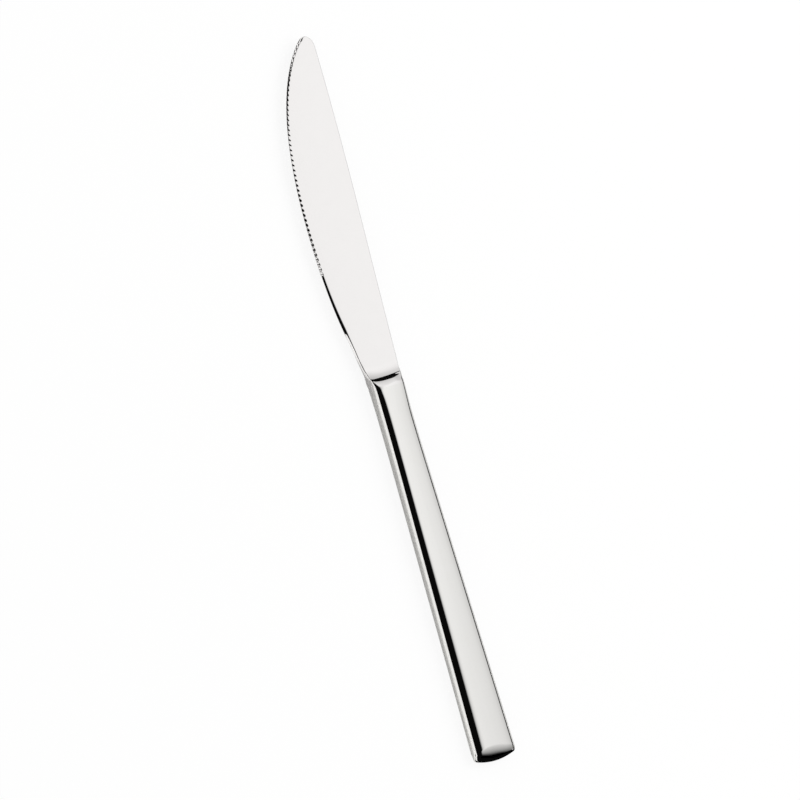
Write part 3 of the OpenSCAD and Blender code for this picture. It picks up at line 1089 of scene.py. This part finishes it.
def light_curve(tree, source, low, high, points):
    """Brightness from a value between low and high, along a curve of (share, brightness)."""
    share = add(tree, "ShaderNodeMapRange", {"Value": source}, {"From Min": low, "From Max": high})
    curve = add(tree, "ShaderNodeFloatCurve", {"Value": share.outputs[0]})
    line = curve.mapping.curves[0]
    line.points[0].location = points[0]
    line.points[1].location = points[-1]
    for spot in points[1:-1]:
        line.points.new(*spot)
    curve.mapping.update()
    return curve.outputs[0]


def window_fabric():
    """Fabric lit from behind, brighter in some parts than in others."""
    material, tree, out = new_material("window_fabric_lit_from_behind")
    place = add(tree, "ShaderNodeTexCoord").outputs["Object"]
    parts = add(tree, "ShaderNodeSeparateXYZ", {"Vector": place}).outputs
    turn = add(tree, "ShaderNodeMath", {0: parts["Y"], 1: parts["Z"]}, operation="ARCTAN2").outputs[0]
    across = light_curve(tree, turn, *[math.radians(a) for a in WINDOW_ACROSS], LIGHT_ACROSS)
    along = light_curve(tree, parts["X"], -STUDIO_R, STUDIO_R, LIGHT_ALONG)
    both = add(tree, "ShaderNodeMath", {0: across, 1: along}, operation="MULTIPLY")
    level = add(tree, "ShaderNodeMath", {0: both.outputs[0]}, {1: WINDOW_LEVEL}, operation="MULTIPLY")
    light = add(tree, "ShaderNodeEmission", {"Strength": level.outputs[0]}, {"Color": linear("#FFFFFF")})
    tree.links.new(light.outputs[0], out.inputs[0])
    return material


window = patch("window", WINDOW_ACROSS, WINDOW_ALONG)
window.data.materials.append(window_fabric())
print("window across and along in degrees:", WINDOW_ACROSS, WINDOW_ALONG)

# %% [markdown]
# ## The black cards
#
# Cards of black cloth give a mirror its dark lines. The card overhead draws the band along the
# handle's rounded edge, and the pale horizon beyond it draws the thin white line beside the band.
# The cards at the tip's end draw the lens of the shoulder. Those at the butt's end draw the dark
# nose of the butt, together with the card at its foot. That card is painted shade: a black sheet flat
# on the floor beside the butt, seen only in reflections, in place of the floor's shade there. The
# card low on the spine's side draws the line along the spine. The cards are placed for this one
# view. Seen from the tip's side, from right above or low from behind, flat faces mirror them too,
# and look dark wholly or in part.

# %% Cards
WINDOW_LOW, WINDOW_HIGH = WINDOW_ACROSS
BUTT_SIDE, TIP_SIDE = WINDOW_ALONG
OVER_END = 73  # how far the overhead cards reach towards the cutting side
HORIZON = -89.9
card_angles = {
    "card_over": [(WINDOW_HIGH, OVER_END), (-40, 38)],
    "card_over_tip_end": [(WINDOW_HIGH, 55), (38, 64)],
    "card_over_butt_end": [(WINDOW_HIGH, OVER_END), (-89, -40)],
    "card_tip_end": [WINDOW_ACROSS, (TIP_SIDE, 86)],
    "card_tip_low": [(HORIZON, WINDOW_LOW), (TIP_SIDE, 86)],
    "card_butt_end": [WINDOW_ACROSS, (-89, BUTT_SIDE)],
    "card_butt_low": [(HORIZON, WINDOW_LOW), (-89, -52)],
    "card_spine": [(-88, WINDOW_LOW), (-35, 35)],
}
# The foot card is painted shade: a black sheet on the floor by the butt, seen only in reflections.
FOOT_GAP = 0.0002  # height of the foot card over the floor, in metres
FOOT_NEAR, FOOT_FAR = -0.0614, -1.2  # from just behind the butt to the studio's end
foot_corners = [(FOOT_FAR, -2.4), (FOOT_NEAR, -0.03), (FOOT_NEAR, 0.03), (FOOT_FAR, 0.6)]


def black_card_and_painted_shade():
    """Black cloth over a card, and painted shade on the foot card: almost nothing comes back from it."""
    material, tree, out = new_material("black_card_cloth_and_painted_shade")
    light = add(tree, "ShaderNodeEmission", values={"Color": linear("#101010"), "Strength": 0.6})
    tree.links.new(light.outputs[0], out.inputs[0])
    return material


cards = [patch(name, *angles) for name, angles in card_angles.items()]
# Painted shade: the foot card lies black on the floor by the butt, and only reflections see it.
foot_mesh = bpy.data.meshes.new("card_foot_painted_shade")
foot_mesh.from_pydata([(x, y, FOOT_GAP) for x, y in foot_corners], [], [(0, 1, 2, 3)])
cards.append(stage_card("card_foot_painted_shade", foot_mesh))
black = black_card_and_painted_shade()
for piece in cards:
    piece.data.materials.append(black)
print("cards:", [c.name for c in cards])

# %% [markdown]
# ## The floor
#
# The knife lies on a sheet of matt white paper. Its colour makes it pale, and to the camera most of
# it glows just over the level of white, so that the background is white while the knife's soft
# shadow still shows. More light would do that too, but it would bleach the knife.

# %% Floor
FLOOR_HALF = 6.0  # half a side of the sheet, in metres
FIBRE_MM = 10 / 9  # clumps of fibres
GLOW_SHARE = 0.85  # share of the paper's look that glows
GLOW_LEVEL = 1.03


def white_paper():
    """Matt white paper with faint fibres, which glows a little to the camera."""
    material, tree, out = new_material("matt_white_paper_sweep")
    place = add(tree, "ShaderNodeTexCoord").outputs["Object"]
    fibre = add(
        tree, "ShaderNodeTexNoise", {"Vector": place},
        {"Scale": per_metre(FIBRE_MM), "Detail": 4.0})
    colour = add(
        tree, "ShaderNodeMix", {"Factor": fibre.outputs["Fac"]},
        {6: linear("#FBFBFB"), 7: linear("#FDFDFC")}, data_type="RGBA")
    paper = add(tree, "ShaderNodeBsdfDiffuse", {"Color": colour.outputs[2]}, {"Roughness": 1.0})
    seen = add(tree, "ShaderNodeLightPath").outputs["Is Camera Ray"]
    share = add(tree, "ShaderNodeMath", {0: seen}, {1: GLOW_SHARE}, operation="MULTIPLY")
    glow = add(tree, "ShaderNodeEmission", values={"Color": linear("#FFFFFF"), "Strength": GLOW_LEVEL})
    sweep = add(
        tree, "ShaderNodeMixShader",
        {0: share.outputs[0], 1: paper.outputs[0], 2: glow.outputs[0]})
    tree.links.new(sweep.outputs[0], out.inputs[0])
    return material


floor_mesh = bpy.data.meshes.new("floor")
floor_corners = [(x * FLOOR_HALF, y * FLOOR_HALF, 0) for x, y in [(-1, -1), (1, -1), (1, 1), (-1, 1)]]
floor_mesh.from_pydata(floor_corners, [], [(0, 1, 2, 3)])
floor_mesh.materials.append(white_paper())
floor = bpy.data.objects.new("floor", floor_mesh)
bpy.context.scene.collection.objects.link(floor)
print("floor side in m:", 2 * FLOOR_HALF)

# %% [markdown]
# ## The world
#
# The world lights the knife at a plain pale level. To the camera, to reflections and through glass
# it is white, so that the background and the horizon stay white.

# %% World
PLAIN_LEVEL = 0.6
world = bpy.data.worlds.new("studio")
bpy.context.scene.world = world
world.use_nodes = True
tree = world.node_tree
tree.nodes.clear()
rays = add(tree, "ShaderNodeLightPath").outputs
seen = add(tree, "ShaderNodeMath", {0: rays["Is Camera Ray"], 1: rays["Is Glossy Ray"]}, operation="MAXIMUM")
seen = add(tree, "ShaderNodeMath", {0: seen.outputs[0], 1: rays["Is Transmission Ray"]}, operation="MAXIMUM")
plain = add(tree, "ShaderNodeBackground", values={"Color": linear("#FFFFFF"), "Strength": PLAIN_LEVEL})
white = add(tree, "ShaderNodeBackground", values={"Color": linear("#FFFFFF"), "Strength": 1.0})
sky = add(tree, "ShaderNodeMixShader", {0: seen.outputs[0], 1: plain.outputs[0], 2: white.outputs[0]})
tree.links.new(sky.outputs[0], add(tree, "ShaderNodeOutputWorld").inputs[0])
print("plain level of the world:", PLAIN_LEVEL)

# %% [markdown]
# ## The lamp
#
# One large soft lamp stands in the window's direction and gives the shadow. Reflections don't see
# it, because the window stands for it there. A small lamp would give a hard shadow, which the
# photograph doesn't have.

# %% Lamp in the window's place
LAMP_ACROSS, LAMP_ALONG = math.radians(-38), math.radians(4)
LAMP_DISTANCE = 1.5  # metres
LAMP_SIZE = 1.2
LAMP_POWER = 10.0  # watts
lamp_way = Vector((
    math.sin(LAMP_ALONG),
    math.cos(LAMP_ALONG) * math.sin(LAMP_ACROSS),
    math.cos(LAMP_ALONG) * math.cos(LAMP_ACROSS),
))
lamp_data = bpy.data.lights.new("window_lamp", "AREA")
lamp_data.shape = "SQUARE"
lamp_data.size = LAMP_SIZE
lamp_data.energy = LAMP_POWER
lamp = bpy.data.objects.new("window_lamp", lamp_data)
lamp.location = studio_centre + lamp_way * LAMP_DISTANCE
lamp.rotation_euler = lamp_way.to_track_quat("Z", "Y").to_euler()
lamp.visible_glossy = False
bpy.context.scene.collection.objects.link(lamp)
print("lamp in W:", lamp_data.energy)

# %% [markdown]
# ## Camera
#
# The picture looks at the knife from the cutting side, 26 degrees off the front face's normal, with
# a long lens. The tip points up and leans 16.3 degrees to the left. The lens is worked out from the
# scale of the picture: how many pixels show one millimetre of the knife.

# %% Camera
TURN = math.radians(26)
LEAN = math.radians(16.3)
PICTURE_PX = 800
PX_PER_MM = 3.2565
SENSOR_MM = 36
CAMERA_DISTANCE = 3.0  # metres, as the next three
AIM_X = 0.05324  # where the camera is aimed, along the knife
AIM_ACROSS = 0.00287
SIGHT_END = 50

toward = Vector((0, math.sin(TURN), math.cos(TURN)))
across_w = Vector((0, -math.cos(TURN), math.sin(TURN)))
along_x = Vector((1, 0, 0))
right = across_w * math.cos(LEAN) - along_x * math.sin(LEAN)
up = across_w * math.sin(LEAN) + along_x * math.cos(LEAN)
target = Vector((AIM_X, 0, half_t(MID_X) * MM)) + across_w * AIM_ACROSS
camera_data = bpy.data.cameras.new("camera")
camera_data.sensor_width = SENSOR_MM
camera_data.lens = SENSOR_MM * CAMERA_DISTANCE / (PICTURE_PX / PX_PER_MM * MM)
camera_data.clip_end = SIGHT_END
camera = bpy.data.objects.new("camera", camera_data)
camera.matrix_world = Matrix((
    (right.x, up.x, toward.x, 0),
    (right.y, up.y, toward.y, 0),
    (right.z, up.z, toward.z, 0),
    (0, 0, 0, 1),
))
camera.location = target + toward * CAMERA_DISTANCE
bpy.context.scene.collection.objects.link(camera)
bpy.context.scene.camera = camera
bpy.context.scene.view_settings.view_transform = "Standard"
print("lens in mm:", round(camera_data.lens, 1))
